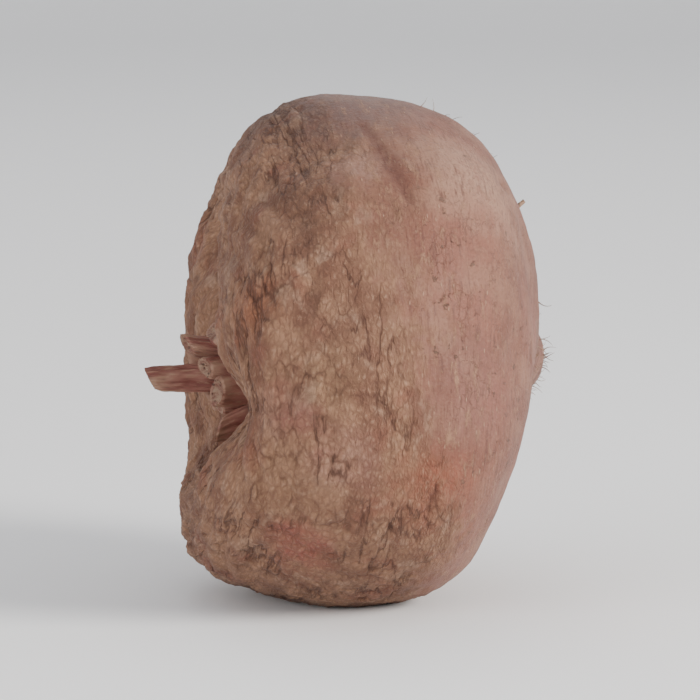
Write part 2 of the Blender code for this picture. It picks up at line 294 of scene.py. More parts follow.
def skin(step, turn):
    """The point of the root's skin at this step and turn, in millimetres, and its place when unbent."""
    place = plain_place(step, turn)
    height = relief(step, turn, place)
    lift = outline_normal(step)
    along = place.x + lift[0] * height
    radius = math.hypot(place.y, place.z) + lift[1] * height
    middle, _, sideways, upwards = middle_line(along)
    point = middle + radius * (math.cos(turn) * sideways + math.sin(turn) * upwards)
    point += CROWN_SHIFT * (1 - smooth_step(DISH_EDGE, SHOULDER_END + 1, step))
    point.z = max(0.0, point.z)
    return point, place


def step_of_row(row):
    """The step along the outline at which this row of faces begins."""
    start = 0.0
    for end, rows in STRETCHES:
        if row <= rows:
            return start + (end - start) * row / rows
        row -= rows
        start = end
    return LAST_STEP


def cork_end(turn):
    """The step at which the cork ends at this turn, before it wanders."""
    reach = max(0.0, math.cos(turn - CORK_REACH_TURN)) ** 1.5
    shortfall = max(0.0, math.cos(turn - CORK_SHORTFALL_TURN)) ** 2
    return CORK_END + CORK_REACH * reach - CORK_SHORTFALL * shortfall


def draw_creases():
    """The creases' ends and half widths: the ones given, then short slanting ones round the root."""
    chance = random.Random(CREASE_SEED)
    creases = list(CREASES)
    for number in range(CREASE_COUNT):
        step = chance.uniform(*CREASE_STEPS)
        turn = 2 * math.pi * (number + chance.random()) / CREASE_COUNT
        length = chance.uniform(*CREASE_LENGTHS)
        slant = chance.uniform(-CREASE_SLANT, CREASE_SLANT)
        half_width = chance.uniform(*CREASE_HALF_WIDTHS)
        creases.append((plain_place(step, turn), plain_place(step + slant, turn + length), half_width))
    return creases


def crease_share(place, creases):
    """1 in the middle of a crease, 0 away from all of them."""
    nearest = 0.0
    outward = place.normalized()
    for start, end, half_width in creases:
        span = end - start
        share = min(1.0, max(0.0, (place - start).dot(span) / span.length_squared))
        away = place - start - share * span
        if away.length < CREASE_REACH:
            aside = (away - outward * away.dot(outward)).length
            width_here = half_width * (CREASE_SWELL - abs(2 * share - 1))
            nearest = max(nearest, math.exp(-((aside / width_here) ** 2)))
    return nearest


def ball_places(sides, rings):
    """(ring, turn) of each point of a closed ball, from one pole to the other."""
    yield 0, 0.0
    for ring in range(1, rings):
        for number in range(sides):
            yield ring, 2 * math.pi * number / sides
    yield rings, 0.0


def ball_faces(sides, rings):
    """The faces of that ball, always in the same order, so that each run scatters the same hairs on it."""
    last = 1 + sides * (rings - 1)
    faces = []
    for number in range(sides):
        beside = (number + 1) % sides
        faces.append((0, 1 + beside, 1 + number))
        for start in range(1, last - sides, sides):
            faces.append((start + number, start + beside, start + sides + beside, start + sides + number))
        faces.append((last - sides + number, last - sides + beside, last))
    return faces


def ball_mesh(name, points, sides, rings):
    """A closed mesh of that ball's points, moved to these places in millimetres."""
    mesh = bpy.data.meshes.new(name)
    mesh.from_pydata([point * MM for point in points], [], ball_faces(sides, rings))
    mesh.shade_smooth()
    return mesh


def keep(mesh, name, values):
    """Keeps a number for each of the mesh's points under this name."""
    mesh.attributes.new(name, "FLOAT", "POINT").data.foreach_set("value", values)


def make_root_mesh():
    """The root's skin as the solid has it, much finer, with what its patterns read kept at each point."""
    creases = draw_creases()
    steps = [(step_of_row(ring), turn) for ring, turn in ball_places(SIDES, ROWS)]
    points, places = zip(*(skin(step, turn) for step, turn in steps))
    mesh = ball_mesh("root_skin", points, SIDES, ROWS)
    kept_places = mesh.attributes.new("place", "FLOAT_VECTOR", "POINT")
    kept_places.data.foreach_set("vector", [number for place in places for number in place])
    keep(mesh, "arc", [arc_length(step) for step, _ in steps])
    keep(mesh, "step", [step for step, _ in steps])
    keep(mesh, "cork", [cork_end(turn) - step for step, turn in steps])
    keep(mesh, "furrow", [furrow_share(step, turn) for step, turn in steps])
    keep(mesh, "crease", [crease_share(place, creases) for place in places])
    return mesh


def add_piece(name, data):
    """A new object at the origin of the scene, made of this data."""
    piece = bpy.data.objects.new(name, data)
    bpy.context.scene.collection.objects.link(piece)
    return piece


class Value:
    """A socket of a node tree. What is written about it in Python adds its nodes to the tree."""

    def __init__(self, tree, socket=None):
        self.tree = tree
        self.socket = socket

    def node(self, kind, settings, inputs, output=0):
        """Adds a node: its settings come first, then its sockets get values or links. Gives one output."""
        made = self.tree.nodes.new(kind)
        for name, setting in settings.items():
            setattr(made, name, setting)
        for name, given in inputs.items():
            if isinstance(given, Value):
                self.tree.links.new(given.socket, made.inputs[name])
            else:
                made.inputs[name].default_value = given
        return Value(self.tree, made.outputs[output])

    def beside(self, output):
        """Another output of the node that this one comes from."""
        return Value(self.tree, self.socket.node.outputs[output])

    def maths(self, operation, *given):
        """The result of this operation on the numbers given."""
        return self.node("ShaderNodeMath", {"operation": operation}, dict(enumerate(given)))

    def __add__(self, other):
        return self.maths("ADD", self, other)

    def __radd__(self, other):
        return self.maths("ADD", other, self)

    def __sub__(self, other):
        return self.maths("SUBTRACT", self, other)

    def __rsub__(self, other):
        return self.maths("SUBTRACT", other, self)

    def __mul__(self, other):
        return self.maths("MULTIPLY", self, other)

    def __rmul__(self, other):
        return self.maths("MULTIPLY", other, self)

    def __abs__(self):
        return self.maths("ABSOLUTE", self)

    def root(self):
        return self.maths("SQRT", self)

    def cosine(self):
        return self.maths("COSINE", self)

    def sine(self):
        return self.maths("SINE", self)

    def smooth(self, low, high):
        """0 where this is low, 1 where it is high, and smooth between the two."""
        limits = {"Value": self, "From Min": low, "From Max": high}
        return self.node("ShaderNodeMapRange", {"interpolation_type": "SMOOTHSTEP"}, limits)

    def vectors(self, operation, *given, output=0):
        """The result of this operation on the vectors given."""
        return self.node("ShaderNodeVectorMath", {"operation": operation}, dict(enumerate(given)), output)

    def scaled(self, share):
        """This vector times a number."""
        return self.node("ShaderNodeVectorMath", {"operation": "SCALE"}, {0: self, "Scale": share})

    def vector(self, x, y, z):
        """The vector of these three numbers."""
        return self.node("ShaderNodeCombineXYZ", {}, {"X": x, "Y": y, "Z": z})

    def parts(self):
        """The three numbers of this vector."""
        split = self.node("ShaderNodeSeparateXYZ", {}, {"Vector": self})
        return [split.beside(axis) for axis in "XYZ"]

    def read(self, name, vector=False):
        """What the piece's own attribute of this name holds."""
        if self.tree.bl_idname == "ShaderNodeTree":
            settings = {"attribute_name": name}
            return self.node("ShaderNodeAttribute", settings, {}, "Vector" if vector else "Fac")
        settings = {"data_type": "FLOAT_VECTOR" if vector else "FLOAT"}
        return self.node("GeometryNodeInputNamedAttribute", settings, {"Name": name})

    def cloud(self, size, detail=2.0, roughness=0.5, output=0):
        """Soft noise from 0 to 1 at this place, its lumps about this far apart."""
        inputs = {"Vector": self, "Scale": 1 / size, "Detail": detail, "Roughness": roughness}
        return self.node("ShaderNodeTexNoise", {}, inputs, output)

    def cells(self, size, feature="F1", output=0, randomness=1.0):
        """A pattern of cells about this wide at this place: by default how far its cell's middle is."""
        inputs = {"Vector": self, "Scale": 1 / size, "Randomness": randomness}
        return self.node("ShaderNodeTexVoronoi", {"feature": feature}, inputs, output)

    def strayed(self, size, distance):
        """This place, moved about by noise."""
        stray = self.vectors("SUBTRACT", self.cloud(size, output=1), (0.5, 0.5, 0.5))
        return self.vectors("ADD", self, self.vectors("MULTIPLY", stray, (2 * distance,) * 3))

    def mixed(self, start, end):
        """The colour between these two that this share gives."""
        return self.node("ShaderNodeMix", {"data_type": "RGBA"}, {0: self, 6: start, 7: end}, 2)


# How far a step is, how far the cork's edge wanders, frays and fades, and the sizes of the cork's scales,
# flakes and fissures
MM_A_STEP = 6.6
CORK_WANDER = 16.0
CORK_WANDER_SPACING = 13.0
CORK_FRAY = 12.0
CORK_FRAY_SPACING = 2.6
CORK_FADE = 2.6
RING_SQUEEZE = 2.1
SCALE_SIZE = 3.1
SCALE_GAP = 0.12
FLAKE_SIZE = 1.25
FLAKE_GAP = 0.30
FISSURE_SQUEEZE = 4.5
FISSURE_LENGTH = 9.0
FISSURE_WIDTH = 0.045


def ringed(look, squeeze):
    """The place on the root's skin, squeezed lengthways, so that a pattern on it lies in rings."""
    _, sideways, upwards = look.read("place", vector=True).parts()
    return look.vector(look.read("arc") * squeeze, sideways, upwards)


def cork_cover(look):
    """1 on cork and 0 on smooth skin, with a ragged and fading edge between the two."""
    place = look.read("place", vector=True)
    wander = (place.cloud(CORK_WANDER_SPACING, 3.0) - 0.5) * CORK_WANDER
    fray = (ringed(look, 1.6).cloud(CORK_FRAY_SPACING, 5.0, 0.65) - 0.5) * CORK_FRAY
    return (look.read("cork") * MM_A_STEP + wander + fray).smooth(-CORK_FADE, CORK_FADE)


def cork_scales(look):
    """1 on the cork's scales, down to 0 in the gaps between them, which fade out here and there."""
    edge = ringed(look, RING_SQUEEZE).strayed(2.2, 1.3).cells(SCALE_SIZE, "DISTANCE_TO_EDGE")
    open_here = look.read("place", vector=True).cloud(5.0, 3.0).smooth(0.42, 0.60)
    return 1 - (1 - edge.smooth(0.0, SCALE_GAP)) * open_here


def cork_flakes(look):
    """1 on the small flakes that the scales break up into, down to 0 between them."""
    edge = ringed(look, RING_SQUEEZE).strayed(1.0, 0.6).cells(FLAKE_SIZE, "DISTANCE_TO_EDGE")
    return edge.smooth(0.0, FLAKE_GAP)


def cork_fissures(look):
    """1 in the long fissures that run round the crown, 0 away from them."""
    wave = ringed(look, FISSURE_SQUEEZE).cloud(FISSURE_LENGTH, 4.0, 0.55) - 0.5
    open_here = look.read("place", vector=True).cloud(8.0, 2.0).smooth(0.45, 0.58)
    return (1 - abs(wave).smooth(0.0, FISSURE_WIDTH)) * open_here


def start_tree(name, sizes):
    """A new Geometry Nodes tree with an input for each size. Gives them by name, with the geometry."""
    tree = bpy.data.node_groups.new(name, "GeometryNodeTree")
    tree.interface.new_socket("Geometry", in_out="INPUT", socket_type="NodeSocketGeometry")
    tree.interface.new_socket("Geometry", in_out="OUTPUT", socket_type="NodeSocketGeometry")
    for size, value in sizes.items():
        kind = "NodeSocketInt" if isinstance(value, int) else "NodeSocketFloat"
        tree.interface.new_socket(size, in_out="INPUT", socket_type=kind)
    start = tree.nodes.new("NodeGroupInput")
    return {socket.name: Value(tree, socket) for socket in start.outputs if socket.name}


def end_tree(geometry, material):
    """Makes the copies in the geometry real, gives it the material and joins it to the tree's output."""
    whole = geometry.node("GeometryNodeRealizeInstances", {}, {"Geometry": geometry})
    finished = whole.node("GeometryNodeSetMaterial", {}, {"Geometry": whole, "Material": material})
    end = geometry.tree.nodes.new("NodeGroupOutput")
    geometry.tree.links.new(finished.socket, end.inputs["Geometry"])


def above_floor(geometry, floor):
    """The geometry, with any point that lies lower than the floor lifted onto it."""
    x, y, z = geometry.node("GeometryNodeInputPosition", {}, {}).parts()
    places = {"Geometry": geometry, "Position": geometry.vector(x, y, z.maths("MAXIMUM", z, floor))}
    return geometry.node("GeometryNodeSetPosition", {}, places)


def grow(seed, tree, sizes):
    """A plain mesh piece from the tree's result on the seed, which is then removed."""
    name = seed.name
    modifier = seed.modifiers.new("grow", "NODES")
    modifier.node_group = tree
    for item in tree.interface.items_tree:
        if item.in_out == "INPUT" and item.name in sizes:
            modifier[item.identifier] = sizes[item.name]
    bpy.context.view_layer.update()
    depsgraph = bpy.context.evaluated_depsgraph_get()
    mesh = bpy.data.meshes.new_from_object(seed.evaluated_get(depsgraph), depsgraph=depsgraph)
    seed.modifiers.remove(modifier)
    bpy.data.objects.remove(seed)
    mesh.shade_smooth()
    mesh.name = name
    return add_piece(name, mesh)


# How high and how deep the skin's fine relief is, then how far apart its forms lie
SKIN_RELIEF = {
    "Scale height": 0.16,
    "Flake height": 0.09,
    "Fissure depth": 0.30,
    "Cork grain": 0.95,
    "Undulation": 0.70,
    "Ring ripple": 0.20,
    "Crease depth": 0.40,
    "Furrow wrinkle": 0.35,
    "Floor height": floor_height,
}
GRAIN_SPACING = 3.4
SWELL_SPACING = 9.0
RIPPLE_SQUEEZE = 6.0
RIPPLE_LENGTH = 7.0
FURROW_WRINKLE_SQUEEZE = 5.0
FURROW_WRINKLE_LENGTH = 5.0
TAIL_THINNING = 0.7


def skin_relief_tree(material):
    """Raises the cork's scales and flakes and the smooth skin's low swells, and sinks the creases."""
    given = start_tree("skin relief", SKIN_RELIEF)
    look = given["Geometry"]
    cork = cork_cover(look)
    scales = given["Scale height"] * cork_scales(look) + given["Flake height"] * cork_flakes(look)
    fissures = given["Fissure depth"] * cork_fissures(look)
    grain = given["Cork grain"] * (ringed(look, RING_SQUEEZE).cloud(GRAIN_SPACING, 5.0, 0.6) - 0.5)
    swells = given["Undulation"] * (ringed(look, 1.2).cloud(SWELL_SPACING) - 0.5)
    ripples = given["Ring ripple"] * (ringed(look, RIPPLE_SQUEEZE).cloud(RIPPLE_LENGTH) - 0.5)
    creases = given["Crease depth"] * look.read("crease")
    folds = ringed(look, FURROW_WRINKLE_SQUEEZE).cloud(FURROW_WRINKLE_LENGTH) - 0.5
    wrinkles = given["Furrow wrinkle"] * look.read("furrow") * folds
    thinning = 1 - look.read("step").smooth(NECK, NECK_END) * TAIL_THINNING
    corky = scales + grain - fissures
    height = (cork * corky + (1 - cork) * (swells + ripples + wrinkles) - creases) * thinning
    normal = look.node("GeometryNodeInputNormal", {}, {})
    moves = {"Geometry": look, "Offset": normal.scaled(height * MM)}
    raised = look.node("GeometryNodeSetPosition", {}, moves)
    end_tree(above_floor(raised, given["Floor height"]), material)
    return look.tree


# Colours of the root's skin, before light falls on it, except the dish's, which is painted shade
MAUVE = (0.146, 0.056, 0.035, 1)
ROSE = (0.188, 0.070, 0.045, 1)
DUST = (0.246, 0.128, 0.082, 1)
FINE_LINE = (0.092, 0.034, 0.023, 1)
LENTICEL = (0.330, 0.195, 0.125, 1)
SCAR = (0.050, 0.020, 0.015, 1)
CORK_TAN = (0.262, 0.138, 0.080, 1)
CORK_BROWN = (0.148, 0.067, 0.040, 1)
CORK_RED = (0.200, 0.070, 0.044, 1)
CORK_PALE = (0.345, 0.215, 0.143, 1)
CRACK = (0.062, 0.025, 0.016, 1)
# Painted shade in the crown's hollow dish
DISH_PAINTED_SHADE = (0.085, 0.032, 0.024, 1)
TAIL = (0.230, 0.118, 0.075, 1)
SOIL = (0.085, 0.050, 0.031, 1)

# Blushes and stains, and painted shade on the top and painted light on the upper right, as (middle, radius,
# colour, strength)
STAINS_AND_PAINTED_LIGHT = [
    # Painted shade: these two greyish dark patches, and the wide one further down, darken the top as if
    # shaded from above.
    ((-10.8, 2.1, 31.9), 10.0, (0.078, 0.046, 0.038, 1), 0.80),
    ((-8.2, -10.5, 30.7), 8.0, (0.078, 0.046, 0.038, 1), 0.65),
    ((-11.2, -21.0, 23.9), 7.5, (0.092, 0.042, 0.026, 1), 0.80),
    ((-11.7, -25.5, 19.2), 5.0, (0.105, 0.048, 0.029, 1), 0.65),
    ((-18.9, -25.8, 10.3), 5.0, (0.290, 0.112, 0.056, 1), 0.80),
    ((-7.6, -33.1, 6.7), 8.0, (0.140, 0.070, 0.044, 1), 0.50),
    ((-11.1, -33.2, 1.1), 5.0, (0.330, 0.195, 0.105, 1), 0.50),
    ((-17.9, -30.1, -2.5), 5.5, (0.340, 0.180, 0.118, 1), 0.70),
    ((-14.6, -32.0, -4.3), 3.8, (0.205, 0.072, 0.056, 1), 0.75),
    ((-18.1, -28.0, -12.8), 8.0, (0.300, 0.165, 0.092, 1), 0.55),
    ((-9.2, -33.1, -9.0), 6.0, (0.275, 0.130, 0.098, 1), 0.50),
    ((-13.0, -24.8, -21.4), 6.0, (0.225, 0.060, 0.043, 1), 0.95),
    ((2.7, -32.8, -12.5), 7.5, (0.220, 0.066, 0.036, 1), 0.90),
    ((8.7, -33.2, -2.2), 9.0, (0.205, 0.078, 0.062, 1), 0.50),
    # Partly painted light: a pale patch that also lightens the upper right, on the side the key light falls
    # on.
    ((10.8, -19.3, 24.8), 11.0, (0.345, 0.210, 0.145, 1), 0.75),
    ((-4.8, -20.0, 26.2), 4.5, (0.290, 0.170, 0.125, 1), 0.75),
    # Painted shade: a wide greyish patch that darkens the top.
    ((-0.8, -6.8, 32.5), 12.0, (0.095, 0.060, 0.054, 1), 0.75),
    ((6.0, 27.0, 12.0), 8.0, (0.240, 0.085, 0.050, 1), 0.60),
    ((14.0, 12.0, -24.0), 9.0, (0.110, 0.052, 0.036, 1), 0.55),
    ((-11.0, 24.0, -16.0), 6.0, (0.215, 0.065, 0.046, 1), 0.70),
    ((12.0, 14.0, 24.0), 6.0, (0.250, 0.110, 0.075, 1), 0.50),
    ((-3.0, 31.0, -12.0), 8.0, (0.115, 0.055, 0.036, 1), 0.55),
    ((20.0, -10.0, 8.0), 8.0, (0.120, 0.058, 0.038, 1), 0.45),
]
STAIN_AND_LIGHT_RAGGEDNESS = 1.6

# How far apart the smooth skin's marks lie, and how hard those that lie in rings are squeezed
LINE_SQUEEZE = 9.0
LINE_LENGTH = 3.4
CRAZE_SIZE = 1.5
CRAZE_WIDTH = 0.07
RUSSET_SQUEEZE = 2.4
RUSSET_SIZE = 3.2
LENTICEL_SQUEEZE = 3.2
LENTICEL_SPACING = 2.6
SCAR_SPACING = 8.5
PORE_SPACING = 0.42
CRUMB_SPACING = 1.5


def start_material(name):
    """A new material, and the start of every expression on its nodes."""
    material = bpy.data.materials.new(name)
    material.use_nodes = True
    return material, Value(material.node_tree)


def end_material(material, colour, roughness, height, specular=0.35, sheen=0.0):
    """Gives the material its varying colour and roughness, and a fine height in millimetres."""
    shader = material.node_tree.nodes["Principled BSDF"]
    shader.inputs["Specular IOR Level"].default_value = specular
    shader.inputs["Sheen Weight"].default_value = sheen
    bump = colour.node("ShaderNodeBump", {}, {"Height": height, "Distance": MM})
    for name, given in {"Base Color": colour, "Roughness": roughness, "Normal": bump}.items():
        material.node_tree.links.new(given.socket, shader.inputs[name])
    return material


def broad_colour(look, cork):
    """The cork's and the smooth skin's colours as seen from afar, with the blushes and stains on both, and
    painted shade on the top and painted light on the upper right.
    """
    place = look.read("place", vector=True)
    smooth = ringed(look, 1.5).cloud(13.0, 4.0).smooth(0.36, 0.64).mixed(MAUVE, ROSE)
    dusty = place.cloud(7.0, 6.0, 0.62).smooth(0.40, 0.68) * 0.6
    smooth = dusty.mixed(smooth, DUST)
    corky = ringed(look, 1.4).cloud(6.0, 5.0, 0.6).smooth(0.36, 0.60).mixed(CORK_BROWN, CORK_TAN)
    corky = (place.cloud(5.5, 4.0).smooth(0.52, 0.70) * 0.65).mixed(corky, CORK_RED)
    pale = ringed(look, 1.4).strayed(4.0, 4.0).cloud(4.5, 4.0).smooth(0.54, 0.70) * 0.6
    colour = cork.mixed(smooth, pale.mixed(corky, CORK_PALE))
    strayed_place = place.strayed(5.0, 3.0)
    ragged = ringed(look, 1.6).cloud(2.2, 6.0, 0.7) - 0.5
    patchy = ringed(look, 1.6).cloud(1.1, 5.0, 0.7).smooth(0.36, 0.62) * 0.55 + 0.45
    # Mixes in each patch in turn: the blushes and stains, and the painted shade and painted light among them.
    for middle, radius, stain_and_painted_light, strength in STAINS_AND_PAINTED_LIGHT:
        away = strayed_place.vectors("DISTANCE", strayed_place, middle, output=1)
        covered = 1 - (away + ragged * radius * STAIN_AND_LIGHT_RAGGEDNESS).smooth(0.25 * radius, 1.1 * radius)
        colour = (covered * patchy * strength).mixed(colour, stain_and_painted_light)
    return colour


def cork_marks(look, colour, cork):
    """The colour with the cork's grain, flakes, scales and fissures in it, and their fine height."""
    scales = cork_scales(look)
    flakes = cork_flakes(look)
    fissures = cork_fissures(look)
    grain = ringed(look, 1.7).cloud(0.8, 5.0, 0.65)
    colour = (grain.smooth(0.50, 0.70) * flakes * cork * 0.5).mixed(colour, CORK_PALE)
    colour = ((1 - grain).smooth(0.50, 0.68) * cork * 0.55).mixed(colour, CORK_BROWN)
    colour = ((1 - flakes) * cork * 0.30).mixed(colour, CRACK)
    colour = ((1 - scales) * cork * 0.45).mixed(colour, CRACK)
    colour = (fissures * cork * 0.75).mixed(colour, CRACK)
    return colour, (grain * 0.26 + flakes * 0.07 + scales * 0.06 - fissures * 0.10) * cork


def skin_lines(look, colour, bare):
    """The colour with the smooth skin's fine lines, crazing and russet, and their fine height."""
    place = look.read("place", vector=True)
    lines = ringed(look, LINE_SQUEEZE).cloud(LINE_LENGTH, 5.0, 0.68)
    lined = place.cloud(9.0, 3.0).smooth(0.38, 0.60) * 0.45 + 0.25
    colour = (lines.smooth(0.52, 0.64) * lined * bare).mixed(colour, FINE_LINE)
    colour = ((1 - lines).smooth(0.52, 0.66) * bare * 0.25).mixed(colour, DUST)
    net = ringed(look, 1.8).strayed(0.9, 0.6).cells(CRAZE_SIZE, "DISTANCE_TO_EDGE")
    crazed = (1 - net.smooth(0.0, CRAZE_WIDTH)) * place.cloud(4.0, 3.0).smooth(0.46, 0.62)
    colour = (crazed * bare * 0.45).mixed(colour, FINE_LINE)
    russet = ringed(look, RUSSET_SQUEEZE).cloud(RUSSET_SIZE, 6.0, 0.7).smooth(0.54, 0.66)
    near_cork = look.read("cork").smooth(-2.6, 0.2) * 0.65 + 0.22
    colour = (russet * near_cork * bare).mixed(colour, CORK_TAN)
    return colour, (lines * 0.08 + russet * 0.06 - crazed * 0.05) * bare


def skin_spots(look, colour, bare):
    """The colour with the smooth skin's lenticels, scars, pores and crumbs of soil, and their fine height."""
    place = look.read("place", vector=True)
    dashes = ringed(look, LENTICEL_SQUEEZE)
    present = dashes.cells(LENTICEL_SPACING, output=1).parts()[0].smooth(0.35, 0.40)
    lenticels = (1 - dashes.cells(LENTICEL_SPACING).smooth(0.07, 0.16)) * present
    colour = (lenticels * bare * 0.75).mixed(colour, LENTICEL)
    marked = place.cells(SCAR_SPACING, output=1).parts()[0].smooth(0.55, 0.60)
    away = place.strayed(1.0, 0.35).cells(SCAR_SPACING)
    scars = (1 - away.smooth(0.03, 0.08)) * marked
    colour = (scars * bare * 0.85).mixed(colour, SCAR)
    halo = (1 - away.smooth(0.08, 0.16)) * marked
    pores = place.cloud(PORE_SPACING, 3.0)
    colour = ((1 - pores).smooth(0.52, 0.72) * bare * 0.40).mixed(colour, FINE_LINE)
    colour = (pores.smooth(0.56, 0.72) * bare * 0.35).mixed(colour, DUST)
    crumbs = place.cloud(CRUMB_SPACING, 8.0, 0.72).smooth(0.61, 0.65) * place.cloud(12.0).smooth(0.40, 0.60)
    colour = (crumbs * bare * 0.65).mixed(colour, SOIL)
    return colour, (lenticels * 0.07 + (halo - 2 * scars) * 0.12 + pores * 0.11 + crumbs * 0.10) * bare


def root_skin_material():
    """Tan cork over thin, dusty, mauve skin, with soil in the furrows, a fibrous tail and painted shade in
    the crown's dish.
    """
    material, look = start_material("root skin")
    place = look.read("place", vector=True)
    step = look.read("step")
    cork = cork_cover(look)
    colour, corky_height = cork_marks(look, broad_colour(look, cork), cork)
    colour, line_height = skin_lines(look, colour, 1 - cork)
    colour, spot_height = skin_spots(look, colour, 1 - cork)
    soiled = look.read("furrow").smooth(0.2, 0.9) * place.cloud(2.0, 3.0).smooth(0.40, 0.60) * 0.55
    colour = soiled.mixed(colour, SOIL)
    # The creases are darkened: partly a fine dark line of their own, partly painted shade in the groove.
    crease_line_and_shade = look.read("crease") * (place.cloud(1.2, 4.0, 0.7).smooth(0.30, 0.60) * 0.5 + 0.4)
    colour = crease_line_and_shade.mixed(colour, FINE_LINE)
    tail = step.smooth(NECK, NECK_END)
    tail_lines = ringed(look, 4.0).cloud(2.6, 4.0, 0.6)
    tail_colour = tail_lines.smooth(0.42, 0.62).mixed(FINE_LINE, TAIL)
    colour = (tail * 0.85).mixed(colour, tail_colour)
    # The crown's dish: its dark colour is painted shade in the hollow, over red rings of its own.
    dish = 1 - step.smooth(1.2, RIM + 0.4)
    dish_lines = ringed(look, 3.0).cloud(3.0, 4.0).smooth(0.40, 0.62)
    colour = (dish * 0.8).mixed(colour, dish_lines.mixed(DISH_PAINTED_SHADE, CORK_RED))
    roughness = cork * 0.22 + place.cloud(1.6, 3.0) * 0.20 + 0.52
    height = corky_height + line_height + spot_height + tail * tail_lines * 0.12
    return end_material(material, colour, roughness, height, specular=0.30, sheen=0.04)


root_skin = add_piece("root_skin", make_root_mesh())
root_skin = grow(root_skin, skin_relief_tree(root_skin_material()), SKIN_RELIEF)
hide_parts("root")
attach(root_skin, "root")


# The side roots: thin brown roots that grew out of the two furrows and broke off short when the beetroot
# was pulled up. Each one thins from a swollen foot to a ragged end.

# The side roots' number, places along the outline, lengths and forms. The shares are of a root's length, and
# the taper is what is left of its thickness at its sunk foot and then at each of them.
SIDE_ROOT_SEED = 11
SIDE_ROOTS_A_FURROW = 6
SIDE_ROOT_STEPS = (11.4, 17.3)
SIDE_ROOT_LENGTHS = (1.6, 4.6)
SIDE_ROOT_RADII = (0.42, 0.68)
SIDE_ROOT_STRAY = 0.12
SIDE_ROOT_SWEEP = (0.2, 1.0)
SIDE_ROOT_LEAN = 0.7
SIDE_ROOT_SHARES = (0.0, 0.35, 0.7, 1.0)
SIDE_ROOT_TAPER = (1.25, 1.2, 0.85, 0.65, 0.5)
SIDE_ROOT_SUNK = 1.2
SIDE_ROOT = {"Sides": 14, "Rings": 22, "Knobbliness": 0.20}
KNOB_SPACING = 0.9
SIDE_ROOT_BROWN = (0.170, 0.090, 0.060, 1)
SIDE_ROOT_TIP = (0.300, 0.185, 0.120, 1)


def side_root_paths():
    """For each side root its points and radii, from under the skin out to its broken end."""
    chance = random.Random(SIDE_ROOT_SEED)
    first, last = SIDE_ROOT_STEPS
    for furrow in FURROW_TURNS:
        for number in range(SIDE_ROOTS_A_FURROW):
            share = (number + chance.uniform(0.0, 1.0)) / SIDE_ROOTS_A_FURROW
            step = first + (last - first) * share
            turn = furrow + FURROW_TWIST * (step - GIRTH)
            turn += chance.uniform(-SIDE_ROOT_STRAY, SIDE_ROOT_STRAY)
            length = chance.uniform(*SIDE_ROOT_LENGTHS)
            thickness = chance.uniform(*SIDE_ROOT_RADII)
            start = skin(step, turn)[0]
            middle, direction, _, _ = middle_line(outline(step)[0])
            outward = (start - middle).normalized()
            sideways = outward.cross(direction) * chance.uniform(-SIDE_ROOT_LEAN, SIDE_ROOT_LEAN)
            sweep = direction * chance.uniform(*SIDE_ROOT_SWEEP) + sideways
            along, away = outline_normal(step)
            path = [start - (direction * along + outward * away) * SIDE_ROOT_SUNK]
            for part_way in SIDE_ROOT_SHARES:
                path.append(start + length * (outward * part_way + sweep * part_way**2))
            yield path, [thickness * share_left for share_left in SIDE_ROOT_TAPER]


def make_root_curves(name, paths):
    """One curve object with an open line for each path of points and radii."""
    curves = bpy.data.curves.new(name, "CURVE")
    curves.dimensions = "3D"
    for path, radii in paths:
        line = curves.splines.new("POLY")
        line.points.add(len(path) - 1)
        for point, place, radius in zip(line.points, path, radii):
            point.co = (*(place * MM), 1)
            point.radius = radius * MM
    return add_piece(name, curves)


def stored(geometry, name, value):
    """The geometry, keeping this value at each point under this name."""
    inputs = {"Geometry": geometry, "Name": name, "Value": value}
    return geometry.node("GeometryNodeStoreNamedAttribute", {"data_type": "FLOAT"}, inputs)


def side_root_tree(material):
    """Turns each line into a knobbly round root as thick as its radii say."""
    given = start_tree("side roots", SIDE_ROOT)
    curves = given["Geometry"]
    curves = curves.node("GeometryNodeCurveSplineType", {"spline_type": "CATMULL_ROM"}, {"Curve": curves})
    curves = curves.node("GeometryNodeResampleCurve", {}, {"Curve": curves, "Count": given["Rings"]})
    curves = stored(curves, "share", curves.node("GeometryNodeSplineParameter", {}, {}))
    round_section = {"Resolution": given["Sides"], "Radius": 1.0}
    section = curves.node("GeometryNodeCurvePrimitiveCircle", {}, round_section)
    thickness = curves.node("GeometryNodeInputRadius", {}, {})
    tube = {"Curve": curves, "Profile Curve": section, "Scale": thickness, "Fill Caps": True}
    tubes = curves.node("GeometryNodeCurveToMesh", {}, tube)
    normal = curves.node("GeometryNodeInputNormal", {}, {})
    place = curves.node("GeometryNodeInputPosition", {}, {})
    knobs = (place.cloud(KNOB_SPACING * MM, 3.0) - 0.5) * given["Knobbliness"] * MM * 2
    moves = {"Geometry": tubes, "Offset": normal.scaled(knobs)}
    end_tree(tubes.node("GeometryNodeSetPosition", {}, moves), material)
    return curves.tree


def side_root_material():
    """Dry brown bark, paler towards the broken end."""
    material, look = start_material("side root")
    place = look.node("ShaderNodeTexCoord", {}, {}, "Object")
    colour = look.read("share").smooth(0.6, 1.0).mixed(SIDE_ROOT_BROWN, SIDE_ROOT_TIP)
    grain = place.cloud(0.5 * MM, 4.0)
    colour = (grain.smooth(0.45, 0.65) * 0.6).mixed(colour, CRACK)
    return end_material(material, colour, grain * 0.2 + 0.7, grain * 0.12)


side_roots = make_root_curves("side_roots", side_root_paths())
side_roots = grow(side_roots, side_root_tree(side_root_material()), SIDE_ROOT)
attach(side_roots, "root")


# The hair roots: fine brittle hairs of the root's own fibre, brown and half dry. They grew out through the
# skin, and cling to the furrows and to the tail.

HAIR_ROOTS = {
    "Hairs a square metre": 1900000.0,
    "Seed": 4,
    "Thickness": 0.055,
    "Shortest": 0.5,
    "Longest": 1.7,
    "Waviness": 0.5,
    "Floor height": floor_height,
}

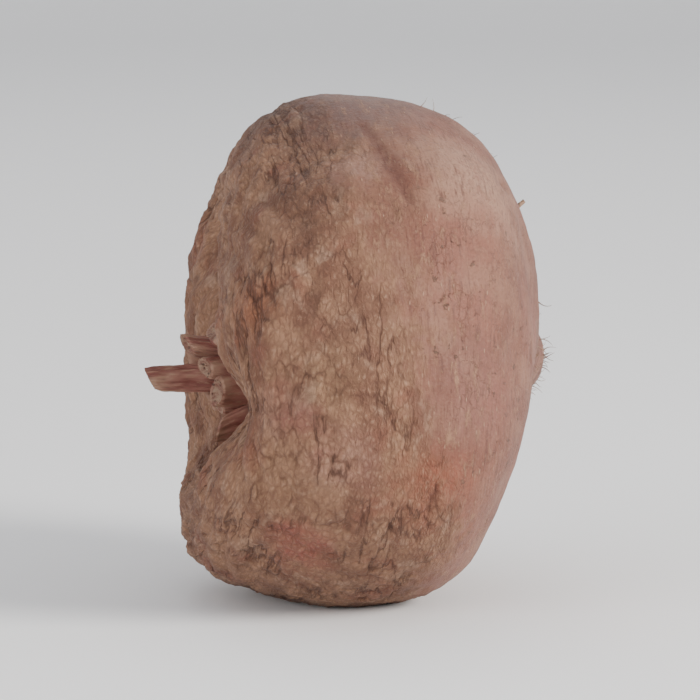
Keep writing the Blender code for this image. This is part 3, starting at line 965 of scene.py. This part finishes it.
# One hair before it is scaled and turned, then how far hairs lean and wave, and their colours
HAIR_RINGS = 6
HAIR_SIDES = 4
HAIR_FOOT_WIDTH = 1.15
HAIR_FOOT = (0, 0, -0.3 * MM)
HAIR_MIDDLE = (0.1 * MM, 0, 0.6 * MM)
HAIR_TIP = (0.8 * MM, 0, 0.8 * MM)
HAIR_LEAN = 1.1
HAIR_WAVE_SPACING = 3.0
HAIR_WAVE_REACH = 3.0
HAIR_BROWN = (0.150, 0.085, 0.056, 1)
HAIR_PALE = (0.320, 0.215, 0.150, 1)


def bent_hair(look, thickness):
    """One short bent hair, which thins towards its tip and keeps how far along it each point lies."""
    bend = {"Resolution": HAIR_RINGS, "Start": HAIR_FOOT, "Middle": HAIR_MIDDLE, "End": HAIR_TIP}
    hair = look.node("GeometryNodeCurveQuadraticBezier", {}, bend)
    hair = stored(hair, "share", look.node("GeometryNodeSplineParameter", {}, {}))
    round_section = {"Resolution": HAIR_SIDES, "Radius": thickness * MM}
    section = look.node("GeometryNodeCurvePrimitiveCircle", {}, round_section)
    width = HAIR_FOOT_WIDTH - look.read("share")
    tube = {"Curve": hair, "Profile Curve": section, "Scale": width, "Fill Caps": True}
    return look.node("GeometryNodeCurveToMesh", {}, tube)


def hair_root_tree(material):
    """Scatters bent hairs over the furrows and the tail."""
    given = start_tree("hair roots", HAIR_ROOTS)
    look = given["Geometry"]
    tail = look.read("step").smooth(NECK, NECK_END + 1)
    hairiness = look.read("furrow").smooth(0.3, 1.0) * 0.5 + tail * 0.5
    spread = {"Mesh": look, "Density": hairiness * given["Hairs a square metre"], "Seed": given["Seed"]}
    points = look.node("GeometryNodeDistributePointsOnFaces", {"distribute_method": "RANDOM"}, spread)
    least, most = (-HAIR_LEAN, -HAIR_LEAN, 0.0), (HAIR_LEAN, HAIR_LEAN, 2 * math.pi)
    leans = {"Min": least, "Max": most, "Seed": given["Seed"] + 1}
    lean = look.node("FunctionNodeRandomValue", {"data_type": "FLOAT_VECTOR"}, leans)
    turned = look.node("FunctionNodeEulerToRotation", {}, {"Euler": lean})
    turning = {"Rotation": points.beside("Rotation"), "Rotate By": turned}
    rotation = look.node("FunctionNodeRotateRotation", {"rotation_space": "LOCAL"}, turning)
    lengths = {2: given["Shortest"], 3: given["Longest"], "Seed": given["Seed"] + 2}
    length = look.node("FunctionNodeRandomValue", {"data_type": "FLOAT"}, lengths, 1)
    hair = bent_hair(look, given["Thickness"])
    placing = {"Points": points, "Instance": hair, "Rotation": rotation, "Scale": length}
    hairs = look.node("GeometryNodeInstanceOnPoints", {}, placing)
    hairs = look.node("GeometryNodeRealizeInstances", {}, {"Geometry": hairs})
    place = look.node("GeometryNodeInputPosition", {}, {})
    cloud = place.cloud(HAIR_WAVE_SPACING * MM, 1.0, output=1)
    wave = look.vectors("SUBTRACT", cloud, (0.5, 0.5, 0.5))
    amount = look.read("share") * given["Waviness"] * HAIR_WAVE_REACH * MM
    moves = {"Geometry": hairs, "Offset": wave.scaled(amount)}
    waved = look.node("GeometryNodeSetPosition", {}, moves)
    end_tree(above_floor(waved, given["Floor height"]), material)
    return look.tree


def hair_root_material():
    """Dull brown fibre, paler in patches."""
    material, look = start_material("hair root")
    place = look.node("ShaderNodeTexCoord", {}, {}, "Object")
    colour = place.cloud(4 * MM).smooth(0.35, 0.65).mixed(HAIR_BROWN, HAIR_PALE)
    grain = place.cloud(0.3 * MM, 2.0)
    return end_material(material, colour, grain * 0.1 + 0.75, grain * 0.02)


hair_roots = add_piece("hair_roots", root_skin.data.copy())
hair_roots = grow(hair_roots, hair_root_tree(hair_root_material()), HAIR_ROOTS)
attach(hair_roots, "root")


# The crown's stem: the short flat stem in the dish, which the leaves grew from. Its top is corky, with the
# dark curved scars of leaves that fell before the rest were cut.

# The stem's size and how rough its top is, then its colours and how its leaf scars lie
SEAT_RADIUS = 8.6
SEAT_HEIGHT = 2.6
SEAT_GAP = 0.35
SEAT_SIDES = 120
SEAT_RINGS = 64
SEAT_ROUGHNESS = 0.5
SEAT_LUMP_SPACING = 1.3
SEAT_GRAIN_SPACING = 0.6
STEM_BROWN = (0.120, 0.058, 0.038, 1)
STEM_ROSE = (0.165, 0.066, 0.050, 1)
STEM_DARK = (0.034, 0.014, 0.011, 1)
SCAR_SQUEEZE = 2.0
SCAR_SPREAD = 4.0
SCAR_SIZE = 2.6


def dish_depth(radius):
    """Where the crown's dish lies along the middle line at this radius."""
    alongs, radii = zip(*OUTLINE[: RIM + 1])
    return float(np.interp(radius, radii, alongs))


def crown_point(along, across, over):
    """A point by its distance along the root's middle line, and across and over it at the crown."""
    middle, _, sideways, upwards = middle_line(along)
    return middle + CROWN_SHIFT + sideways * across + upwards * over


def make_stem_mesh():
    """The stem as a flat lens: its underside fills the dish and its top is domed and rough."""
    points = []
    for ring, turn in ball_places(SEAT_SIDES, SEAT_RINGS):
        polar = math.pi * ring / SEAT_RINGS
        radius = SEAT_RADIUS * math.sin(polar)
        point = crown_point(dish_depth(radius), radius * math.cos(turn), radius * math.sin(turn))
        top = max(0.0, math.cos(polar))
        rough = noise.noise(point / SEAT_LUMP_SPACING) + noise.noise(point / SEAT_GRAIN_SPACING) / 2
        point.x -= (SEAT_GAP if top else 0.0) + (SEAT_HEIGHT + SEAT_ROUGHNESS * rough) * top
        points.append(point)
    return ball_mesh("crown_stem", points, SEAT_SIDES, SEAT_RINGS)


def crown_stem_material():
    """Brown cork with dark curved leaf scars, which lie in rings round the middle."""
    material, look = start_material("crown stem")
    place = look.node("ShaderNodeTexCoord", {}, {}, "Object")
    patches = place.cloud(3.0 * MM, 4.0)
    colour = patches.smooth(0.40, 0.60).mixed(STEM_BROWN, STEM_ROSE)
    _, sideways, upwards = place.parts()
    across = sideways - CROWN_SHIFT.y * MM
    over = upwards - (AXIS_HEIGHT + CROWN_SHIFT.z) * MM
    radius = (across * across + over * over).root()
    around = over.maths("ARCTAN2", over, across)
    spread = SCAR_SPREAD * MM
    rings = look.vector(radius * SCAR_SQUEEZE, around.cosine() * spread, around.sine() * spread)
    scars = rings.strayed(1.5 * MM, 1.2 * MM).cells(SCAR_SIZE * MM, "DISTANCE_TO_EDGE").smooth(0.0, 0.16)
    colour = ((1 - scars) * 0.8).mixed(colour, STEM_DARK)
    grain = place.cloud(0.5 * MM, 4.0)
    colour = (grain.smooth(0.52, 0.70) * 0.5).mixed(colour, CORK_TAN)
    return end_material(material, colour, grain * 0.15 + 0.75, grain * 0.2 + scars * 0.15)


crown_stem = add_piece("crown_stem", make_stem_mesh())
crown_stem.data.materials.append(crown_stem_material())
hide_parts("leaf_stalks")
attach(crown_stem, "root")


# The leaf stalks: what is left of the leaves, which were cut off by hand, most of them close to the crown
# and one of them longer. Each is a ribbed gutter, open towards the middle, with a dried and sunken cut end.

# The stalks' number, places and sizes. Leans, widths and thicknesses go from the inmost stalk's to the
# outmost's, and most lengths are drawn near the shortest.
STALK_SEED = 34
STALKS = 9
GOLDEN_TURN = math.radians(137.5)
STALK_SPREAD = 2.2
INMOST_STALK = 0.3
STALK_STRAY = 0.12
STALK_LENGTHS = (4.5, 16.0)
STALK_SHORTNESS = 2.5
STALK_LEANS = (math.radians(3), math.radians(15))
STALK_LEAN_STRAY = math.radians(3)
STALK_WIDTHS = (3.2, 5.8)
STALK_THICKNESSES = (2.2, 3.1)
STALK_SIZE_SHARES = (0.94, 1.06)
STALK_DISTANCE_SHARES = (0.94, 1.04)
STALK_SUNK = 0.9

# The form that all the stalks have, then how their folds lie and how their cut ends are rounded and hollowed
STALK_FORM = {
    "Sides": 72,
    "Rings": 56,
    "Foot": 1.28,
    "Tip": 0.90,
    "Gutter": 0.10,
    "Cut slant": 0.7,
    "Cut hollow": 0.75,
    "Rib height": 0.09,
    "Shrivel": 0.55,
    "Axis height": AXIS_HEIGHT,
}
STALK_RIBS = 15
FOLDS_ROUND = 1.2
FOLDS_ALONG = 0.28
FOLDS_APART = 7
FOLD_SPACING = 0.8
FOLD_SHARES = (0.4, 1.2)
CUT_RINGS = 6
CUT_ROUNDING = 0.10
CUT_ROUNDING_START = 0.93
CUT_HOLLOW_START = 0.97
STALK_ROSE = (0.260, 0.112, 0.082, 1)
STALK_RED = (0.160, 0.048, 0.036, 1)
STALK_DRY = (0.300, 0.185, 0.118, 1)
STALK_DARK = (0.060, 0.025, 0.018, 1)
CUT_PALE = (0.250, 0.158, 0.104, 1)
CUT_RED = (0.165, 0.072, 0.050, 1)


def between(limits, share):
    """The number, or the socket, that lies this share of the way between two."""
    return limits[0] + (limits[1] - limits[0]) * share


def stalk_sizes():
    """For each stalk, from the middle out: its place on the crown, lean, length, width and thickness."""
    chance = random.Random(STALK_SEED)
    for number in range(STALKS):
        share = number / (STALKS - 1)
        distance = STALK_SPREAD * math.sqrt(number + INMOST_STALK)
        size = {
            "distance": distance * chance.uniform(*STALK_DISTANCE_SHARES),
            "turn": number * GOLDEN_TURN + chance.uniform(-STALK_STRAY, STALK_STRAY),
            "lean": between(STALK_LEANS, share) + chance.uniform(-STALK_LEAN_STRAY, STALK_LEAN_STRAY),
            "length": between(STALK_LENGTHS, chance.random() ** STALK_SHORTNESS),
            "width": between(STALK_WIDTHS, share) * chance.uniform(*STALK_SIZE_SHARES),
            "thickness": between(STALK_THICKNESSES, share) * chance.uniform(*STALK_SIZE_SHARES),
            "cut": chance.uniform(0, 2 * math.pi),
        }
        size["start"] = dish_depth(min(size["distance"], SEAT_RADIUS)) - SEAT_GAP - STALK_SUNK
        size["number"] = number
        yield size


def make_stalk_points():
    """A point for each stalk, which keeps its sizes."""
    sizes = list(stalk_sizes())
    mesh = bpy.data.meshes.new("leaf_stalks")
    mesh.from_pydata([(0, 0, 0)] * len(sizes), [], [])
    for name in sizes[0]:
        keep(mesh, name, [size[name] for size in sizes])
    return mesh


def stalk_tubes(look, sides, rings):
    """A closed tube for each stalk, whose points keep how far round, how far out and how far up they lie."""
    divisions = {"Vertices": sides, "Side Segments": rings, "Fill Segments": CUT_RINGS}
    form = {**divisions, "Radius": 1.0, "Depth": 1.0}
    tube = look.node("GeometryNodeMeshCylinder", {"fill_type": "TRIANGLE_FAN"}, form)
    tubes = look.node("GeometryNodeInstanceOnPoints", {}, {"Points": look, "Instance": tube})
    tubes = look.node("GeometryNodeRealizeInstances", {}, {"Geometry": tubes})
    x, y, z = look.node("GeometryNodeInputPosition", {}, {}).parts()
    tubes = stored(tubes, "around", y.maths("ARCTAN2", y, x))
    tubes = stored(tubes, "inner", (x * x + y * y).root())
    below = 0.5 - z
    return stored(tubes, "share", 1 - below * abs(below))


def stalk_tree(material):
    """Bends a closed tube at each point into a ribbed, hollowed stalk of that point's sizes."""
    given = start_tree("leaf stalks", STALK_FORM)
    look = given["Geometry"]
    tubes = stalk_tubes(look, given["Sides"], given["Rings"])
    around, inner, share = look.read("around"), look.read("inner"), look.read("share")
    length, turn = look.read("length"), look.read("turn")
    rounding = 1 - share.smooth(CUT_ROUNDING_START, 1.0) * CUT_ROUNDING
    taper = between((given["Foot"], given["Tip"]), share) * inner * rounding
    ribs = (around * STALK_RIBS).cosine() * given["Rib height"] * inner
    own_folds = around.sine() * FOLDS_ROUND + look.read("number") * FOLDS_APART
    fold_place = look.vector(around.cosine() * FOLDS_ROUND, own_folds, share * length * FOLDS_ALONG)
    folds = (fold_place.cloud(FOLD_SPACING) - 0.5) * given["Shrivel"] * between(FOLD_SHARES, share) * inner
    sideways = (look.read("width") * 0.5 * taper + ribs + folds) * around.cosine()
    thick = (look.read("thickness") * 0.5 * taper + ribs + folds) * around.sine()
    outwards = thick - given["Gutter"] * sideways * sideways
    slant = given["Cut slant"] * share * inner * (around - look.read("cut")).cosine()
    hollow = given["Cut hollow"] * share.smooth(CUT_HOLLOW_START, 1.0) * (1 - inner * inner)
    rise = length * share + slant - hollow
    lean = look.read("lean") * (1 + share) * 0.5
    outwards = outwards + look.read("distance") + lean.sine() * rise
    along = look.read("start") - lean.cosine() * rise
    across = outwards * turn.cosine() - sideways * turn.sine() + CROWN_SHIFT.y
    over = outwards * turn.sine() + sideways * turn.cosine() + CROWN_SHIFT.z + given["Axis height"]
    places = {"Geometry": tubes, "Position": look.vector(along, across, over).scaled(MM)}
    end_tree(look.node("GeometryNodeSetPosition", {}, places), material)
    return look.tree


def leaf_stalk_material():
    """Streaked red and brown skin that has dried towards the cut, and dull flesh with dark strands on it."""
    material, look = start_material("leaf stalk")
    around, inner, share = look.read("around"), look.read("inner"), look.read("share")
    number, length = look.read("number"), look.read("length")
    sides = look.vector(around.cosine(), around.sine(), share * length * 0.12)
    sides = sides.vectors("ADD", sides, look.vector(number * 5, 0.0, 0.0))
    streaks = sides.cloud(0.22, 4.0, 0.6)
    patches = sides.cloud(0.9, 3.0)
    colour = patches.smooth(0.40, 0.62).mixed(STALK_RED, STALK_ROSE)
    colour = (streaks.smooth(0.50, 0.66) * 0.55).mixed(colour, STALK_DRY)
    colour = ((1 - streaks).smooth(0.56, 0.72) * 0.6).mixed(colour, STALK_DARK)
    colour = (share.smooth(0.55, 1.0) * patches.smooth(0.35, 0.6) * 0.7).mixed(colour, STALK_DRY)
    colour = ((1 - share.smooth(0.1, 0.35)) * 0.6).mixed(colour, STALK_DARK)
    place = look.node("ShaderNodeTexCoord", {}, {}, "Object")
    strands = 1 - place.cells(0.65 * MM).smooth(0.16, 0.34)
    cut = share.smooth(0.985, 0.995) * (1 - inner.smooth(0.90, 1.0))
    flesh = place.cloud(0.6 * MM, 5.0, 0.65).smooth(0.38, 0.62).mixed(CUT_PALE, CUT_RED)
    colour = cut.mixed(colour, (strands * inner.smooth(0.2, 0.5) * 0.8).mixed(flesh, STALK_DARK))
    return end_material(material, colour, streaks * 0.2 + 0.5, streaks * 0.12 + strands * cut * 0.1)


leaf_stalks = add_piece("leaf_stalks_cut", make_stalk_points())
leaf_stalks = grow(leaf_stalks, stalk_tree(leaf_stalk_material()), STALK_FORM)
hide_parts("leaf_stalks")
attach(leaf_stalks, "root")


# The stage: a pale floor that turns up into a wall all round, so that every view has the same plain
# backdrop.

# In metres, as the distances of the lights and the camera below are too
FLOOR_REACH = 1.3
WALL_CURVE = 0.7
WALL_HEIGHT = 0.5
WALL_STEPS = 16
STAGE_SIDES = 96
SAME_PLACE = 1e-6
STAGE_PALE = (0.90, 0.895, 0.89, 1)


def make_stage():
    """A round floor whose edge curves up into the wall."""
    form = bmesh.new()
    curve = [
        (FLOOR_REACH + WALL_CURVE * math.sin(turn), floor_height + WALL_CURVE * (1 - math.cos(turn)))
        for turn in (math.pi / 2 * number / WALL_STEPS for number in range(WALL_STEPS + 1))
    ]
    profile = [(0.0, floor_height), (FLOOR_REACH / 2, floor_height), *curve]
    profile.append((FLOOR_REACH + WALL_CURVE, floor_height + WALL_CURVE + WALL_HEIGHT))
    points = [form.verts.new((radius, 0, height)) for radius, height in profile]
    edges = [form.edges.new(pair) for pair in zip(points, points[1:])]
    bmesh.ops.spin(
        form, geom=points + edges, cent=(0, 0, 0), axis=(0, 0, 1), angle=2 * math.pi,
        steps=STAGE_SIDES, use_merge=True,
    )
    bmesh.ops.remove_doubles(form, verts=form.verts, dist=SAME_PLACE)
    bmesh.ops.recalc_face_normals(form, faces=form.faces)
    mesh = bpy.data.meshes.new("stage")
    form.to_mesh(mesh)
    form.free()
    mesh.shade_smooth()
    material = bpy.data.materials.new("pale stage")
    material.use_nodes = True
    shader = material.node_tree.nodes["Principled BSDF"]
    shader.inputs["Base Color"].default_value = STAGE_PALE
    shader.inputs["Roughness"].default_value = 0.9
    mesh.materials.append(material)
    return mesh


add_piece("stage", make_stage())


# The light and the camera: a soft light on the right, in front, with weaker ones on the left and behind, and
# a pale sky. The camera looks a little down and past the crown, from far off with a long lens.

TARGET = Vector((-1.5, 0.0, 32.5)) * MM
VIEW_AZIMUTH = math.radians(-12)
VIEW_ELEVATION = math.radians(7)
LENS = 240.0
SENSOR = 36.0
FRAME_WIDTH = 0.092
SKY = (0.93, 0.95, 1.0, 1)
SKY_STRENGTH = 0.78

# The lights, as (name, (azimuth, elevation) in degrees, distance, size, power, colour)
LIGHTS = [
    ("key light", (52, 22), 0.9, 0.40, 13.0, (1.0, 0.97, 0.93)),
    ("fill light", (-62, 8), 1.0, 0.70, 6.6, (0.98, 0.98, 1.0)),
    ("back light", (170, 50), 1.0, 0.60, 1.5, (1.0, 0.98, 0.96)),
]


def direction_from(azimuth, elevation):
    """The direction from the object towards a camera or a light at these angles."""
    level = math.cos(elevation)
    return Vector((math.sin(azimuth) * level, -math.cos(azimuth) * level, math.sin(elevation)))


def aim(thing, direction, distance):
    """Sets the camera or a light this far off in this direction, facing the target."""
    thing.location = TARGET + direction * distance
    thing.rotation_mode = "QUATERNION"
    thing.rotation_quaternion = direction.to_track_quat("Z", "Y")


def add_light(name, angles, distance, size, power, colour):
    """Adds a round soft light."""
    data = bpy.data.lights.new(name, "AREA")
    data.shape = "DISK"
    data.size = size
    data.energy = power
    data.color = colour
    aim(add_piece(name, data), direction_from(*map(math.radians, angles)), distance)


camera_data = bpy.data.cameras.new("camera")
camera_data.lens = LENS
camera_data.sensor_width = SENSOR
camera = add_piece("camera", camera_data)
aim(camera, direction_from(VIEW_AZIMUTH, VIEW_ELEVATION), FRAME_WIDTH * LENS / SENSOR)
bpy.context.scene.camera = camera

for light in LIGHTS:
    add_light(*light)

world = bpy.data.worlds.new("sky")
world.use_nodes = True
background = world.node_tree.nodes["Background"]
background.inputs["Color"].default_value = SKY
background.inputs["Strength"].default_value = SKY_STRENGTH
bpy.context.scene.world = world
